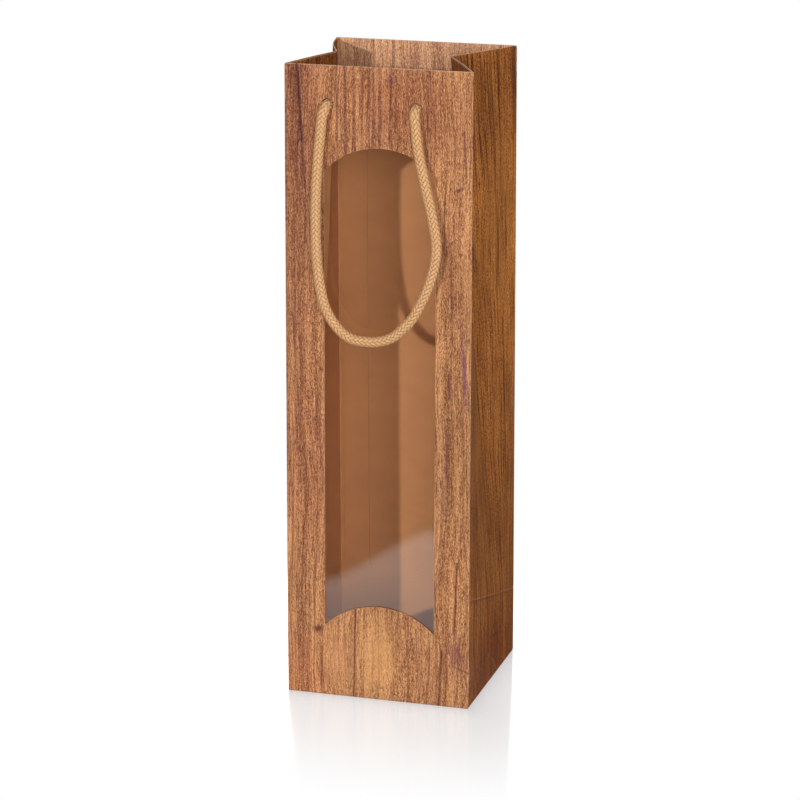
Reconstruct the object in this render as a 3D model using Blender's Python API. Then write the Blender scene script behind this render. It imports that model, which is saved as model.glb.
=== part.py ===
"""A tall carrier bag of folded paper, with a window in its front and two cord handles.

Metres, +Z up. The origin is the middle of the underside, the front faces -Y, and the bag stands.
"""

import math

import bmesh
import bpy
from mathutils import Vector

# The standing bag
WIDTH = 0.105
DEPTH = 0.100
HEIGHT = 0.355
LEAN = 0.004  # how far the top edge of the front and of the back stands inwards of its foot

# Paper, card and film
PAPER = 0.0004
TOP_CARD = 0.0006
BASE_CARD = 0.0010
FILM = 0.00025
GAP = 0.0003  # between layers that are glued or folded together

# Gussets, whose lower fold slants from the front corner to the back corner
FOLD_FRONT = 0.063
FOLD_BACK = 0.038
RIGHT_PINCH = 0.0250  # how far the top of the right centre crease stands in
LEFT_PINCH = 0.0145
GUSSET_ROWS = 10
GUSSET_COLUMNS = 8

# Turned-in top edge, its stiffening cards and the side seam
HEM_DEPTH = 0.040
CORNER_INSET = 0.003  # from a corner of the bag to the end of an inner layer
CREASE_INSET = 0.001
CARD_DROP = 0.001  # from the top edge to a card that the hem wraps
SEAM_WIDTH = 0.015
SEAM_RISE = 0.005

# Window, arched above and below
WINDOW_WIDTH = 0.0628
WINDOW_SHIFT = 0.0011
WINDOW_FOOT = 0.0413  # height of its two lower corners
WINDOW_DROP = 0.0435  # from the top edge to its crown
CROWN_RISE = 0.0140
FOOT_RISE = 0.0130
ARC_STEPS = 12
FILM_MARGIN = 0.008
FILM_TOP_MARGIN = 0.005

# Block bottom
FLAP_OVERLAP = 0.0154  # of the front flap on the back flap
SIDE_FLAP_SPACE = 0.0156  # between the ends of the two side flaps
SIDE_FLAP_TAPER = 0.020
BASE_CARD_PLAY = 0.001

# Cord handles
CORD = 0.006
HOLE_PLAY = 0.0005
HOLE_DROP = 0.0212
HOLE_SPACING = 0.0494
HOLE_SHIFT = -0.0035
HOLE_SIDES = 24
STAND_OFF = 0.001  # from the wall to the cord beside its hole
KNOT = 0.013
KNOT_LENGTH = 0.012
TAIL = 0.012
TAIL_BEND = 0.005
CORD_STEP = 0.015
CURVE_STEPS = 8
NOSE_STEPS = 4
NOSE_START_SHARE = 0.3  # of a step, so that the nose ends in a small flat
KNOT_STEPS = 6
TAIL_STEPS = 4
OVERRUN = 0.002  # of a cutter past what it cuts

# The front handle as it hangs: places across the bag, heights below the holes, and gaps to the wall
HANDLE_ROUTE = [
    (-0.0297, 0.0050, 0.0012),
    (-0.0306, 0.0147, 0.0016),
    (-0.0317, 0.0267, 0.0022),
    (-0.0326, 0.0448, 0.0032),
    (-0.0328, 0.0628, 0.0038),
    (-0.0317, 0.0886, 0.0040),
    (-0.0272, 0.1115, 0.0040),
    (-0.0161, 0.1261, 0.0040),
    (-0.0025, 0.1290, 0.0040),
    (0.0089, 0.1264, 0.0040),
    (0.0164, 0.1203, 0.0040),
    (0.0238, 0.1114, 0.0040),
    (0.0326, 0.0934, 0.0040),
    (0.0353, 0.0750, 0.0040),
    (0.0323, 0.0569, 0.0036),
    (0.0271, 0.0355, 0.0028),
    (0.0236, 0.0198, 0.0020),
    (0.0217, 0.0050, 0.0012),
]

PRINT_BROWN = (0.34, 0.15, 0.06)
SIDE_BROWN = (0.22, 0.09, 0.04)
KRAFT = (0.40, 0.26, 0.15)
BOARD = (0.55, 0.42, 0.28)
CLEAR = (0.80, 0.82, 0.82)
CORD_TAN = (0.55, 0.35, 0.17)

LAYER = PAPER + GAP
HOLE_HEIGHT = HEIGHT - HOLE_DROP
FOLD_MIDDLE = (FOLD_FRONT + FOLD_BACK) / 2
HEM_INSET = LAYER + TOP_CARD + GAP
FRONT, BACK = -1, 1
LEFT, RIGHT = -1, 1
SIDE_NAMES = {LEFT: "left", RIGHT: "right"}
FACE_NAMES = {FRONT: "front", BACK: "back"}


def clear_scene():
    for old in list(bpy.data.objects):
        bpy.data.objects.remove(old, do_unlink=True)


def finish(obj, colour, roughness):
    material = bpy.data.materials.new(obj.name)
    material.use_nodes = True
    shader = material.node_tree.nodes["Principled BSDF"]
    shader.inputs["Base Color"].default_value = (*colour, 1.0)
    shader.inputs["Roughness"].default_value = roughness
    shader.inputs["Metallic"].default_value = 0.0
    obj.data.materials.append(material)
    return obj


def loft(name, rings, colour=KRAFT, roughness=0.8):
    """One closed solid through rings of equally many points, capped at both ends.

    Where a ring runs out along one skin of a sheet and back along the other, both skins are split alike.
    """
    bm = bmesh.new()
    loops = [[bm.verts.new(p) for p in ring] for ring in rings]
    count = len(loops[0])
    for low, high in zip(loops, loops[1:]):
        for i in range(count):
            j = (i + 1) % count
            a, b, c, d = low[i], low[j], high[j], high[i]
            for corners in ((a, b, c), (a, c, d)) if 2 * i < count else ((a, b, d), (b, c, d)):
                bm.faces.new(corners)
    bm.faces.new(loops[0])
    bm.faces.new(loops[-1])
    bmesh.ops.recalc_face_normals(bm, faces=bm.faces)
    if bm.calc_volume(signed=True) < 0:
        bmesh.ops.reverse_faces(bm, faces=bm.faces)
    mesh = bpy.data.meshes.new(name)
    bm.to_mesh(mesh)
    bm.free()
    obj = bpy.data.objects.new(name, mesh)
    bpy.context.collection.objects.link(obj)
    return finish(obj, colour, roughness)


def tube(name, points, radii):
    """A round cord through points, with its own radius at each."""
    curve = bpy.data.curves.new(name, "CURVE")
    curve.dimensions = "3D"
    curve.bevel_depth = CORD / 2
    curve.bevel_resolution = 3
    curve.use_fill_caps = True
    spline = curve.splines.new("POLY")
    spline.points.add(len(points) - 1)
    for knot, point, radius in zip(spline.points, points, radii):
        knot.co = (*point, 1.0)
        knot.radius = radius / (CORD / 2)
    obj = bpy.data.objects.new(name, curve)
    bpy.context.collection.objects.link(obj)
    return finish(obj, CORD_TAN, 0.75)


def wall(z):
    """How far the front's and the back's outer face stands from the middle at height z."""
    return DEPTH / 2 - LEAN * z / HEIGHT


def slab(name, face, x_range, z_range, inset, thickness, colour=KRAFT, roughness=0.8):
    """A flat layer on the front or back wall, inset from the wall's outer face."""
    (x0, x1), (z0, z1) = x_range, z_range
    corners = [(x0, z0), (x1, z0), (x1, z1), (x0, z1)]
    rings = [[(x, face * (wall(z) - depth), z) for x, z in corners] for depth in (inset, inset + thickness)]
    return loft(name, rings, colour, roughness)


def prism(name, outline, z0, z1, colour=KRAFT):
    return loft(name, [[(x, y, z) for x, y in outline] for z in (z0, z1)], colour)


def cut(obj, cutter):
    cutter.hide_render = True
    cutter.display_type = "WIRE"
    boolean = obj.modifiers.new(cutter.name, "BOOLEAN")
    boolean.operation = "DIFFERENCE"
    boolean.solver = "EXACT"
    boolean.object = cutter


def through(name, face, outline):
    """A cutter through every layer of a wall, from an outline of places across and up."""
    reach = wall(0) + OVERRUN
    inner = wall(HEIGHT) - HEM_INSET - PAPER - OVERRUN
    return loft(name, [[(x, face * y, z) for x, z in outline] for y in (reach, inner)])


def arc(x0, x1, z, rise):
    """Points of a circular arc from (x0, z) to (x1, z) whose middle stands rise above its ends."""
    half = abs(x1 - x0) / 2
    radius = (half**2 + rise**2) / (2 * rise)
    sweep = math.asin(half / radius)
    middle, sign = (x0 + x1) / 2, math.copysign(1, x1 - x0)
    angles = [sweep * (2 * i / ARC_STEPS - 1) for i in range(ARC_STEPS + 1)]
    return [(middle + sign * radius * math.sin(a), z + rise - radius * (1 - math.cos(a))) for a in angles]


def window_outline():
    left, right = WINDOW_SHIFT - WINDOW_WIDTH / 2, WINDOW_SHIFT + WINDOW_WIDTH / 2
    shoulder = HEIGHT - WINDOW_DROP - CROWN_RISE
    return arc(left, right, WINDOW_FOOT, FOOT_RISE) + arc(right, left, shoulder, CROWN_RISE)


def hole_outline(x):
    radius = CORD / 2 + HOLE_PLAY
    turns = [2 * math.pi * i / HOLE_SIDES for i in range(HOLE_SIDES)]
    return [(x + radius * math.cos(t), HOLE_HEIGHT + radius * math.sin(t)) for t in turns]


def hole_places(face):
    """The places across the bag of a wall's two holes, the one that hangs at the left first."""
    return [-face * (HOLE_SHIFT + side * HOLE_SPACING / 2) for side in (LEFT, RIGHT)]


def punched(obj, face):
    """The layer with its two cord holes."""
    for i, x in enumerate(hole_places(face)):
        cut(obj, through(f"{obj.name}_punch_{i}", face, hole_outline(x)))
    return obj


def make_walls():
    """The front, the back, their turned-in hems and the cards inside the hems."""
    half, inner = WIDTH / 2, WIDTH / 2 - CORNER_INSET
    card_foot = HEIGHT - WINDOW_DROP + FILM_TOP_MARGIN + GAP
    for face, title in FACE_NAMES.items():
        panel = slab(f"{title}_panel", face, (-half, half), (0, HEIGHT), 0, PAPER, PRINT_BROWN)
        punched(panel, face)
        if face == FRONT:
            cut(panel, through("window_cutter", face, window_outline()))
        card_span = (card_foot, HEIGHT - CARD_DROP)
        punched(slab(f"{title}_top_card", face, (-inner, inner), card_span, LAYER, TOP_CARD, BOARD), face)
        hem_span = (HEIGHT - HEM_DEPTH, HEIGHT)
        hem = slab(f"{title}_hem", face, (-inner, inner), hem_span, HEM_INSET, PAPER, PRINT_BROWN)
        punched(hem, face)


def make_window_film():
    half = WINDOW_WIDTH / 2 + FILM_MARGIN
    across = (WINDOW_SHIFT - half, WINDOW_SHIFT + half)
    up = (WINDOW_FOOT - FILM_MARGIN, HEIGHT - WINDOW_DROP + FILM_TOP_MARGIN)
    slab("window_film", FRONT, across, up, LAYER, FILM, CLEAR, 0.1)


def make_side_seam():
    outer = -(WIDTH / 2 - CORNER_INSET)
    up = (SEAM_RISE + FOLD_BACK, HEIGHT - HEM_DEPTH - GAP)
    slab("side_seam_tab", BACK, (outer, outer + SEAM_WIDTH), up, LAYER, PAPER)


def fold_height(y):
    """The height of a gusset's lower fold, y from the middle of the bag."""
    return FOLD_MIDDLE + (FOLD_BACK - FOLD_FRONT) * y / DEPTH


def gusset_ring(side, face, pinch, rise, ends, inset, foot=None):
    """A level section of half a gusset: out from corner to crease along one skin, and back along the other.

    rise is the section's share of the way from the lower fold, or from foot, to the top edge.
    """
    corner_end, crease_end = ends
    outer = []
    for i in range(GUSSET_COLUMNS + 1):
        y = face * (corner_end + (crease_end - corner_end) * i / GUSSET_COLUMNS)
        fold = fold_height(y)
        low = fold + GAP / 2 if foot is None else foot
        z = low + (HEIGHT - low) * rise
        share = 1 - abs(y) / (DEPTH / 2)
        stands_in = pinch * share * max(0, z - fold) / (HEIGHT - fold)
        outer.append((side * (WIDTH / 2 - stands_in - inset), y * wall(z) / (DEPTH / 2), z))
    inner = [(x - side * PAPER, y, z) for x, y, z in reversed(outer)]
    return outer + inner


def make_gussets():
    """The pinched upper halves, their turned-in hems and the flat bases below the slanting fold."""
    for side, pinch in ((LEFT, LEFT_PINCH), (RIGHT, RIGHT_PINCH)):
        for face in (FRONT, BACK):
            title = f"{SIDE_NAMES[side]}_gusset_{FACE_NAMES[face]}"
            ends = (DEPTH / 2 - 2 * LAYER, GAP / 2)
            steps = [i / GUSSET_ROWS for i in range(GUSSET_ROWS + 1)]
            loft(title, [gusset_ring(side, face, pinch, s, ends, 0) for s in steps], SIDE_BROWN)
            ends = (DEPTH / 2 - CORNER_INSET, CREASE_INSET)
            foot = HEIGHT - HEM_DEPTH
            rings = [gusset_ring(side, face, pinch, s, ends, LAYER, foot) for s in (0, 1)]
            loft(f"{title}_hem", rings, PRINT_BROWN)
        outline = [(face * (wall(z) - LAYER), z) for face, z in (
            (FRONT, 0), (BACK, 0), (BACK, FOLD_BACK - GAP / 2), (FRONT, FOLD_FRONT - GAP / 2))]
        rings = [[(side * (WIDTH / 2 - depth), y, z) for y, z in outline] for depth in (0, PAPER)]
        loft(f"{SIDE_NAMES[side]}_gusset_base", rings, SIDE_BROWN)


def make_bottom():
    """The block bottom: side flaps in first, the back flap over them, the front flap outermost."""
    half_width, half_depth = WIDTH / 2 - LAYER, DEPTH / 2 - LAYER
    for level, face in enumerate((FRONT, BACK)):
        near, far = face * half_depth, -face * FLAP_OVERLAP / 2
        outline = [(-half_width, near), (half_width, near), (half_width, far), (-half_width, far)]
        prism(f"bottom_flap_{FACE_NAMES[face]}", outline, level * LAYER, level * LAYER + PAPER, PRINT_BROWN)
    for side in (LEFT, RIGHT):
        outer, tip = side * half_width, side * SIDE_FLAP_SPACE / 2
        narrow = half_depth - SIDE_FLAP_TAPER
        outline = [(outer, -half_depth), (tip, -narrow), (tip, narrow), (outer, half_depth)]
        prism(f"bottom_flap_{SIDE_NAMES[side]}", outline, 2 * LAYER, 2 * LAYER + PAPER)
    x, y = half_width - BASE_CARD_PLAY, half_depth - BASE_CARD_PLAY
    outline = [(-x, -y), (x, -y), (x, y), (-x, y)]
    prism("base_card", outline, 3 * LAYER, 3 * LAYER + BASE_CARD, BOARD)


def swing_distance(face):
    """How far a handle's swing axis stands from the middle of the bag."""
    return wall(HOLE_HEIGHT) + STAND_OFF + CORD / 2


def make_cord_end(name, face, x):
    """A cord's fixed end: a rounded nose on the swing axis, the stretch through the hole, knot and tail."""
    radius = CORD / 2
    axis = swing_distance(face)
    path = []
    for i in range(NOSE_STEPS):
        angle = math.pi / 2 * (i + NOSE_START_SHARE) / NOSE_STEPS
        path.append((axis + radius * math.cos(angle), HOLE_HEIGHT, radius * math.sin(angle)))
    path.append((axis, HOLE_HEIGHT, radius))
    knot_start = wall(HOLE_HEIGHT) - HEM_INSET - PAPER - GAP
    for i in range(KNOT_STEPS + 1):
        turn = math.pi * i / KNOT_STEPS
        swell = radius + (KNOT / 2 - radius) * math.sin(turn)
        path.append((knot_start - KNOT_LENGTH * (1 - math.cos(turn)) / 2, HOLE_HEIGHT, swell))
    knot_end = knot_start - KNOT_LENGTH
    for i in range(1, TAIL_STEPS + 1):
        angle = math.pi / 2 * i / TAIL_STEPS
        across, drop = TAIL_BEND * math.sin(angle), TAIL_BEND * (1 - math.cos(angle))
        path.append((knot_end - across, HOLE_HEIGHT - drop, radius))
    path.append((knot_end - TAIL_BEND, HOLE_HEIGHT - TAIL, radius))
    points = [(x, face * y, z) for y, z, _ in path]
    tube(name, points, [r for _, _, r in path])


def handle_route(face):
    """The hanging loop's own points, from one hole's swing axis to the other's."""
    first, last = (-face * x for x in hole_places(face))
    route = [Vector((first, swing_distance(face), HOLE_HEIGHT))]
    for across, drop, gap in HANDLE_ROUTE:
        z = HOLE_HEIGHT - drop
        route.append(Vector((across, wall(z) + gap + CORD / 2, z)))
    route.append(Vector((last, swing_distance(face), HOLE_HEIGHT)))
    return [Vector((-face * p.x, face * p.y, p.z)) for p in route]


def smooth(route):
    """Points along one smooth curve through every point of the route."""
    padded = [2 * route[0] - route[1], *route, 2 * route[-1] - route[-2]]
    line = []
    for a, b, c, d in zip(padded, padded[1:], padded[2:], padded[3:]):
        for i in range(CURVE_STEPS):
            t = i / CURVE_STEPS
            bend = (2 * a - 5 * b + 4 * c - d) * t**2 + (3 * b - a - 3 * c + d) * t**3
            line.append(b + ((c - a) * t + bend) / 2)
    return [*line, route[-1]]


def evenly(line, step, trim):
    """The line's points about step apart, without the first and the last trim of its length."""
    along = [0.0]
    for a, b in zip(line, line[1:]):
        along.append(along[-1] + (b - a).length)
    count = max(2, round((along[-1] - 2 * trim) / step))
    found, j = [], 0
    for i in range(count + 1):
        at = trim + (along[-1] - 2 * trim) * i / count
        while j < len(along) - 2 and along[j + 1] < at:
            j += 1
        share = (at - along[j]) / (along[j + 1] - along[j])
        found.append(line[j].lerp(line[j + 1], share))
    return found


def make_handles():
    for face, title in FACE_NAMES.items():
        for x in hole_places(face):
            make_cord_end(f"{title}_cord_end_{SIDE_NAMES[RIGHT if x > 0 else LEFT]}", face, x)
        line = evenly(smooth(handle_route(face)), CORD_STEP, CORD / 2 + GAP)
        tube(f"{title}_handle_cord", line, [CORD / 2] * len(line))


def main():
    clear_scene()
    make_walls()
    make_window_film()
    make_side_seam()
    make_gussets()
    make_bottom()
    make_handles()


main()
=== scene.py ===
"""The looks of a tall carrier bag: printed and folded paper, a film window and two braided cord handles.

Metres, +Z up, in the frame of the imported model. The front faces -Y and the bag stands on the floor.
"""

import math

import bpy
import numpy as np
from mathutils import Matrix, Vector


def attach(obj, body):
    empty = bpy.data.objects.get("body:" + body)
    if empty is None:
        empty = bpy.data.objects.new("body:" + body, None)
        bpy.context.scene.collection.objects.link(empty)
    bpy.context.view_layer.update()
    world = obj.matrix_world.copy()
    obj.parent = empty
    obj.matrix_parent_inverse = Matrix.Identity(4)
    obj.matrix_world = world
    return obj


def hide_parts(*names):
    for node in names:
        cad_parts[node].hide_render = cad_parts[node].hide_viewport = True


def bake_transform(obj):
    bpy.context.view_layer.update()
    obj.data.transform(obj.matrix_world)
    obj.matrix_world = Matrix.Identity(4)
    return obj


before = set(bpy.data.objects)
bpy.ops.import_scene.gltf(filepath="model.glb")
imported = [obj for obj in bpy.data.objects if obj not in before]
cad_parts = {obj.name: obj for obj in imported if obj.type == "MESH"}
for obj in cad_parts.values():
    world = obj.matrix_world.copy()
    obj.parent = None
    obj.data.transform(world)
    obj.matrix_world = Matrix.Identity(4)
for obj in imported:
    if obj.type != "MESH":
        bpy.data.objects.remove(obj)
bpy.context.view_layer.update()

# Sizes of the bag, as in the model
WIDTH = 0.105
DEPTH = 0.100
HEIGHT = 0.355
LEAN = 0.004
PAPER = 0.0003  # 0.1 mm less than the solids' paper
FILM = 0.00025
HALF_WIDTH = WIDTH / 2
HALF_DEPTH = DEPTH / 2
WALL_FOLD = 0.0017  # the wall, its card and the hem together
SIDE_FOLD = 0.0007  # a gusset and its hem together
HEM_DEPTH = 0.040
FOLD_FRONT = 0.063
FOLD_BACK = 0.038
FRONT, BACK = -1, 1
LEFT, RIGHT = -1, 1
FACE_NAMES = {FRONT: "front", BACK: "back"}
SIDE_NAMES = {LEFT: "left", RIGHT: "right"}
PINCH = {RIGHT: 0.0250, LEFT: 0.0145}

# How the paper bends
CORNER_ROUND = 0.0008
FOOT_ROUND = 0.0007
CREASE_ROUND = 0.0005
FOLD_ROUND = 0.0008
CORNER_STEPS = 5
SHARP = math.radians(40)  # between two faces with a hard edge
FOOT_STEPS = 4
TOP_STEPS = 8
GUSSET_BOW = {
    (LEFT, FRONT): 0.0005,
    (LEFT, BACK): 0.0019,
    (RIGHT, FRONT): 0.0006,
    (RIGHT, BACK): 0.0006,
}
TUCK = 0.0012  # of a side's foot behind its gussets, so that no light shows through the fold
TUCK_START = 0.0002
TUCK_GAP = 0.00005  # behind the gusset's paper
DENT_HEIGHT = 0.021  # a soft bend that juts out of the front's right edge
DENT_JUT = 0.0006
DENT_SPREAD = 0.006

# Window and cord holes
WINDOW_WIDTH = 0.0628
WINDOW_SHIFT = 0.0011
WINDOW_FOOT = 0.0413
WINDOW_DROP = 0.0435
CROWN_RISE = 0.0140
FOOT_RISE = 0.0130
FILM_MARGIN = 0.008
FILM_TOP_MARGIN = 0.005
FILM_INSET = 0.0007
FILM_SAG = 0.00025
FILM_GRID = (33, 97)
HOLE_HEIGHT = 0.3338
HOLE_RADIUS = 0.0035
HOLE_SPACING = 0.0494
HOLE_SHIFT = -0.0035
HOLE_SIDES = 40
ARC_STEPS = 32
CUT_REACH = (0.055, 0.040)  # of a cutter outside and inside a wall, from the middle of the bag
CUT_MARGIN = 0.002  # from a wall's outer edges to where its cut edges are looked for
LIP_RISE = 0.0005  # of the paper round a hole, pushed out by the punch
LIP_REACH = 0.0012

# Cord: a round braid of eight strands each way
CORD = 0.006
CORD_STEP = 0.0004
CORD_SIDES = 56
BEND_STEPS = 8  # of the cord, each way from its bend at a hole
STRANDS = 8
STRAND_PITCH = 0.0028
STRAND_RELIEF = 0.00036
CORD_CORE = 0.00252
AXIS_STAND_OFF = 0.004  # from the wall to the middle of the cord beside its hole
KNOT_RING = 0.0032
KNOT_DROP = 0.0030  # of a knot's middle below its hole
KNOT_WAVE = 0.0023
KNOT_CORD = 0.00225
KNOT_STEPS = 34
KNOT_TURNS = {(FRONT, LEFT): 0.0, (FRONT, RIGHT): 0.5, (BACK, LEFT): -0.35, (BACK, RIGHT): 0.25}
TAIL = 0.012
TAIL_FREE = 0.009  # of a tail before the cord is squeezed in its knot
EASE_STEPS = 8  # over which a cord thins into its knot
FRAY_FIBRES = 34
FRAY_ROOT = 0.0008  # of a loose fibre inside the cord's end
FRAY_THICK = 0.00022

# Places across the bag, heights below the holes and gaps to the wall
HANDLE_ROUTE = [
    (-0.0297, 0.0050, 0.0012), (-0.0306, 0.0147, 0.0016), (-0.0317, 0.0267, 0.0022),
    (-0.0326, 0.0448, 0.0032), (-0.0328, 0.0628, 0.0038), (-0.0316, 0.0884, 0.0040),
    (-0.0270, 0.1102, 0.0040), (-0.0161, 0.1240, 0.0040), (-0.0025, 0.1267, 0.0040),
    (0.0089, 0.1241, 0.0040), (0.0164, 0.1181, 0.0040), (0.0234, 0.1092, 0.0040),
    (0.0311, 0.0922, 0.0040), (0.0347, 0.0742, 0.0040), (0.0323, 0.0569, 0.0036),
    (0.0271, 0.0355, 0.0028), (0.0236, 0.0198, 0.0020), (0.0217, 0.0050, 0.0012),
]

# Camera
CAMERA_AZIMUTH = math.radians(16.501)
CAMERA_ELEVATION = math.radians(15.665)
CAMERA_DISTANCE = 1.705568
CAMERA_LENS = 141.684
CAMERA_TARGET = Vector((0.013285, -0.050, 0.174638))

# Lights: azimuth, elevation, distance, height aimed at, size, power and colour
LIGHTS = {
    "key_light": (-9.0, 13.5, 2.2, 0.2, 0.07, 22.0, (1.0, 0.985, 0.96)),
    "front_fill": (24.0, 12.0, 1.6, 0.2, 0.8, 14.5, (1.0, 0.97, 0.93)),
    "right_fill": (80.0, 25.0, 1.8, 0.19, 0.9, 5.0, (1.0, 1.0, 1.0)),
    "back_fill": (205.0, 20.0, 2.0, 0.2, 0.9, 24.0, (1.0, 0.97, 0.93)),
}
LIGHT_CENTRE = 0.2  # height that the lights' elevations are measured from
FLOOR_REACH = 4.0
CARD_SLOPE, CARD_PLACE = 0.169, 129.4  # of a dark card's edge that the film mirrors off the floor, in millimetres
BUMP_DEPTH = 0.0002


def ink(red, green, blue):
    """A colour as a screen shows it, 0 to 255, in the shader's own scale."""
    shares = [value / 255 for value in (red, green, blue)]
    linear = [c / 12.92 if c <= 0.04045 else ((c + 0.055) / 1.055) ** 2.4 for c in shares]
    return (*linear, 1.0)


# Node trees

def put(tree, kind, inputs=None, **settings):
    """A node with its settings, and its inputs linked or set."""
    made = tree.nodes.new(f"ShaderNode{kind}")
    for name, value in settings.items():
        setattr(made, name, value)
    for key, value in (inputs or {}).items():
        if isinstance(value, bpy.types.NodeSocket):
            tree.links.new(value, made.inputs[key])
        else:
            made.inputs[key].default_value = value
    return made


def calc(tree, operation, *values, clamp=False):
    return put(tree, "Math", dict(enumerate(values)), operation=operation, use_clamp=clamp).outputs[0]


def vector_calc(tree, operation, *values, out=0):
    return put(tree, "VectorMath", dict(enumerate(values)), operation=operation).outputs[out]


def ramp(tree, value, low, high, to_low=0.0, to_high=1.0):
    """The value taken smoothly from one range to another."""
    inputs = {"Value": value, "From Min": low, "From Max": high, "To Min": to_low, "To Max": to_high}
    return put(tree, "MapRange", inputs, interpolation_type="SMOOTHSTEP").outputs[0]


def swing(tree, value, amount, base):
    """The base, raised or lowered by as much as a value lies over or under one half."""
    return calc(tree, "MULTIPLY_ADD", calc(tree, "SUBTRACT", value, 0.5), amount, base)


def blend_colours(tree, share, one, other, kind="MIX"):
    """One colour taken towards the other by a share. The node's colours are sockets 6 and 7, and 2 going out."""
    inputs = {0: share, 6: one, 7: other}
    return put(tree, "Mix", inputs, data_type="RGBA", blend_type=kind, clamp_factor=True).outputs[2]


def dim(tree, tint, light):
    """A colour made lighter or darker by a value."""
    grey = put(tree, "CombineColor", {0: light, 1: light, 2: light}).outputs[0]
    return blend_colours(tree, 1.0, tint, grey, "MULTIPLY")


def grain(tree, place, scale, detail=2.0, roughness=0.5, seed=(0.0, 0.0, 0.0), swirl=0.0):
    """Noise over the place, with its own fineness along each direction."""
    stretched = vector_calc(tree, "MULTIPLY", place, scale)
    moved = vector_calc(tree, "ADD", stretched, seed)
    inputs = {"Vector": moved, "Scale": 1.0, "Detail": detail, "Roughness": roughness, "Distortion": swirl}
    return put(tree, "TexNoise", inputs).outputs["Fac"]


def new_group(name, inputs, outputs):
    """An empty shared node group. Inputs are name, kind and value; outputs are name and kind."""
    tree = bpy.data.node_groups.new(name, "ShaderNodeTree")
    for title, kind, value in inputs:
        socket = tree.interface.new_socket(title, in_out="INPUT", socket_type=f"NodeSocket{kind}")
        socket.default_value = value
    for title, kind in outputs:
        tree.interface.new_socket(title, in_out="OUTPUT", socket_type=f"NodeSocket{kind}")
    return tree, tree.nodes.new("NodeGroupInput").outputs, tree.nodes.new("NodeGroupOutput").inputs


def use(tree, group, **inputs):
    """The outputs of a shared group placed in a tree."""
    return put(tree, "Group", inputs, node_tree=group).outputs


def make_wood_group():
    """Printed wood: planks of upright grain with streaks, mottling and pores."""
    tree, given, gives = new_group(
        "Wood print",
        [("Place", "Vector", (0, 0, 0)), ("Pale", "Color", (1, 1, 1, 1)), ("Brown", "Color", (1, 1, 1, 1)),
         ("Plum", "Color", (1, 1, 1, 1)), ("Streaks", "Float", 1.0), ("Mottle", "Float", 1.0),
         ("Seed", "Float", 0.0)],
        [("Colour", "Color"), ("Height", "Float")])
    sway = grain(tree, given["Place"], (0.03, 0.012, 0.0), 1.0)
    sideways = calc(tree, "MULTIPLY_ADD", sway, 9.0, -4.5)
    shift = put(tree, "CombineXYZ", {"X": sideways, "Z": given["Seed"]}).outputs[0]
    place = vector_calc(tree, "ADD", given["Place"], shift)

    bands = grain(tree, place, (0.15, 0.0045, 1.0), 2.0, 0.55)
    fibre = grain(tree, place, (1.55, 0.075, 1.0), 4.0, 0.75, seed=(1.7, 0, 0))
    fleck = grain(tree, place, (2.25, 0.70, 1.0), 3.0, 0.80, seed=(0, 0, 4.0), swirl=0.25)
    tone = swing(tree, fibre, 2.2, swing(tree, bands, 1.2, 0.5))
    speck = calc(tree, "MULTIPLY", calc(tree, "SUBTRACT", fleck, 0.5), given["Mottle"])
    tone = calc(tree, "MULTIPLY_ADD", speck, 4.0, tone)
    colour = blend_colours(tree, tone, given["Brown"], given["Pale"])

    clouds = ramp(tree, grain(tree, place, (0.045, 0.016, 1.0), 2.0, seed=(7.3, 0, 0)), 0.32, 0.68)
    streak = ramp(tree, grain(tree, place, (0.60, 0.010, 1.0), 3.0, 0.6, seed=(0, 3.1, 0)), 0.50, 0.68)
    line = ramp(tree, grain(tree, place, (1.30, 0.022, 1.0), 3.0, 0.7, seed=(2.2, 0, 8.0)), 0.54, 0.63)
    pore = ramp(tree, grain(tree, place, (1.7, 0.26, 1.0), 1.0, 0.5, seed=(5.0, 2.0, 0)), 0.62, 0.70)
    patch = ramp(tree, grain(tree, place, (0.10, 0.05, 1.0), 1.0, seed=(3.0, 9.0, 0)), 0.42, 0.62)
    for mask, share in ((clouds, 0.18), (streak, 0.42), (line, 0.55)):
        strong = calc(tree, "MULTIPLY", mask, calc(tree, "MULTIPLY", given["Streaks"], share))
        colour = blend_colours(tree, strong, colour, given["Plum"])
    pore_share = calc(tree, "MULTIPLY", pore, patch)
    colour = blend_colours(tree, calc(tree, "MULTIPLY", pore_share, 0.75), colour, ink(78, 38, 34))
    tree.links.new(colour, gives["Colour"])
    height = calc(tree, "MULTIPLY_ADD", fibre, 0.5, calc(tree, "MULTIPLY", pore_share, -0.6))
    tree.links.new(height, gives["Height"])
    return tree


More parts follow.
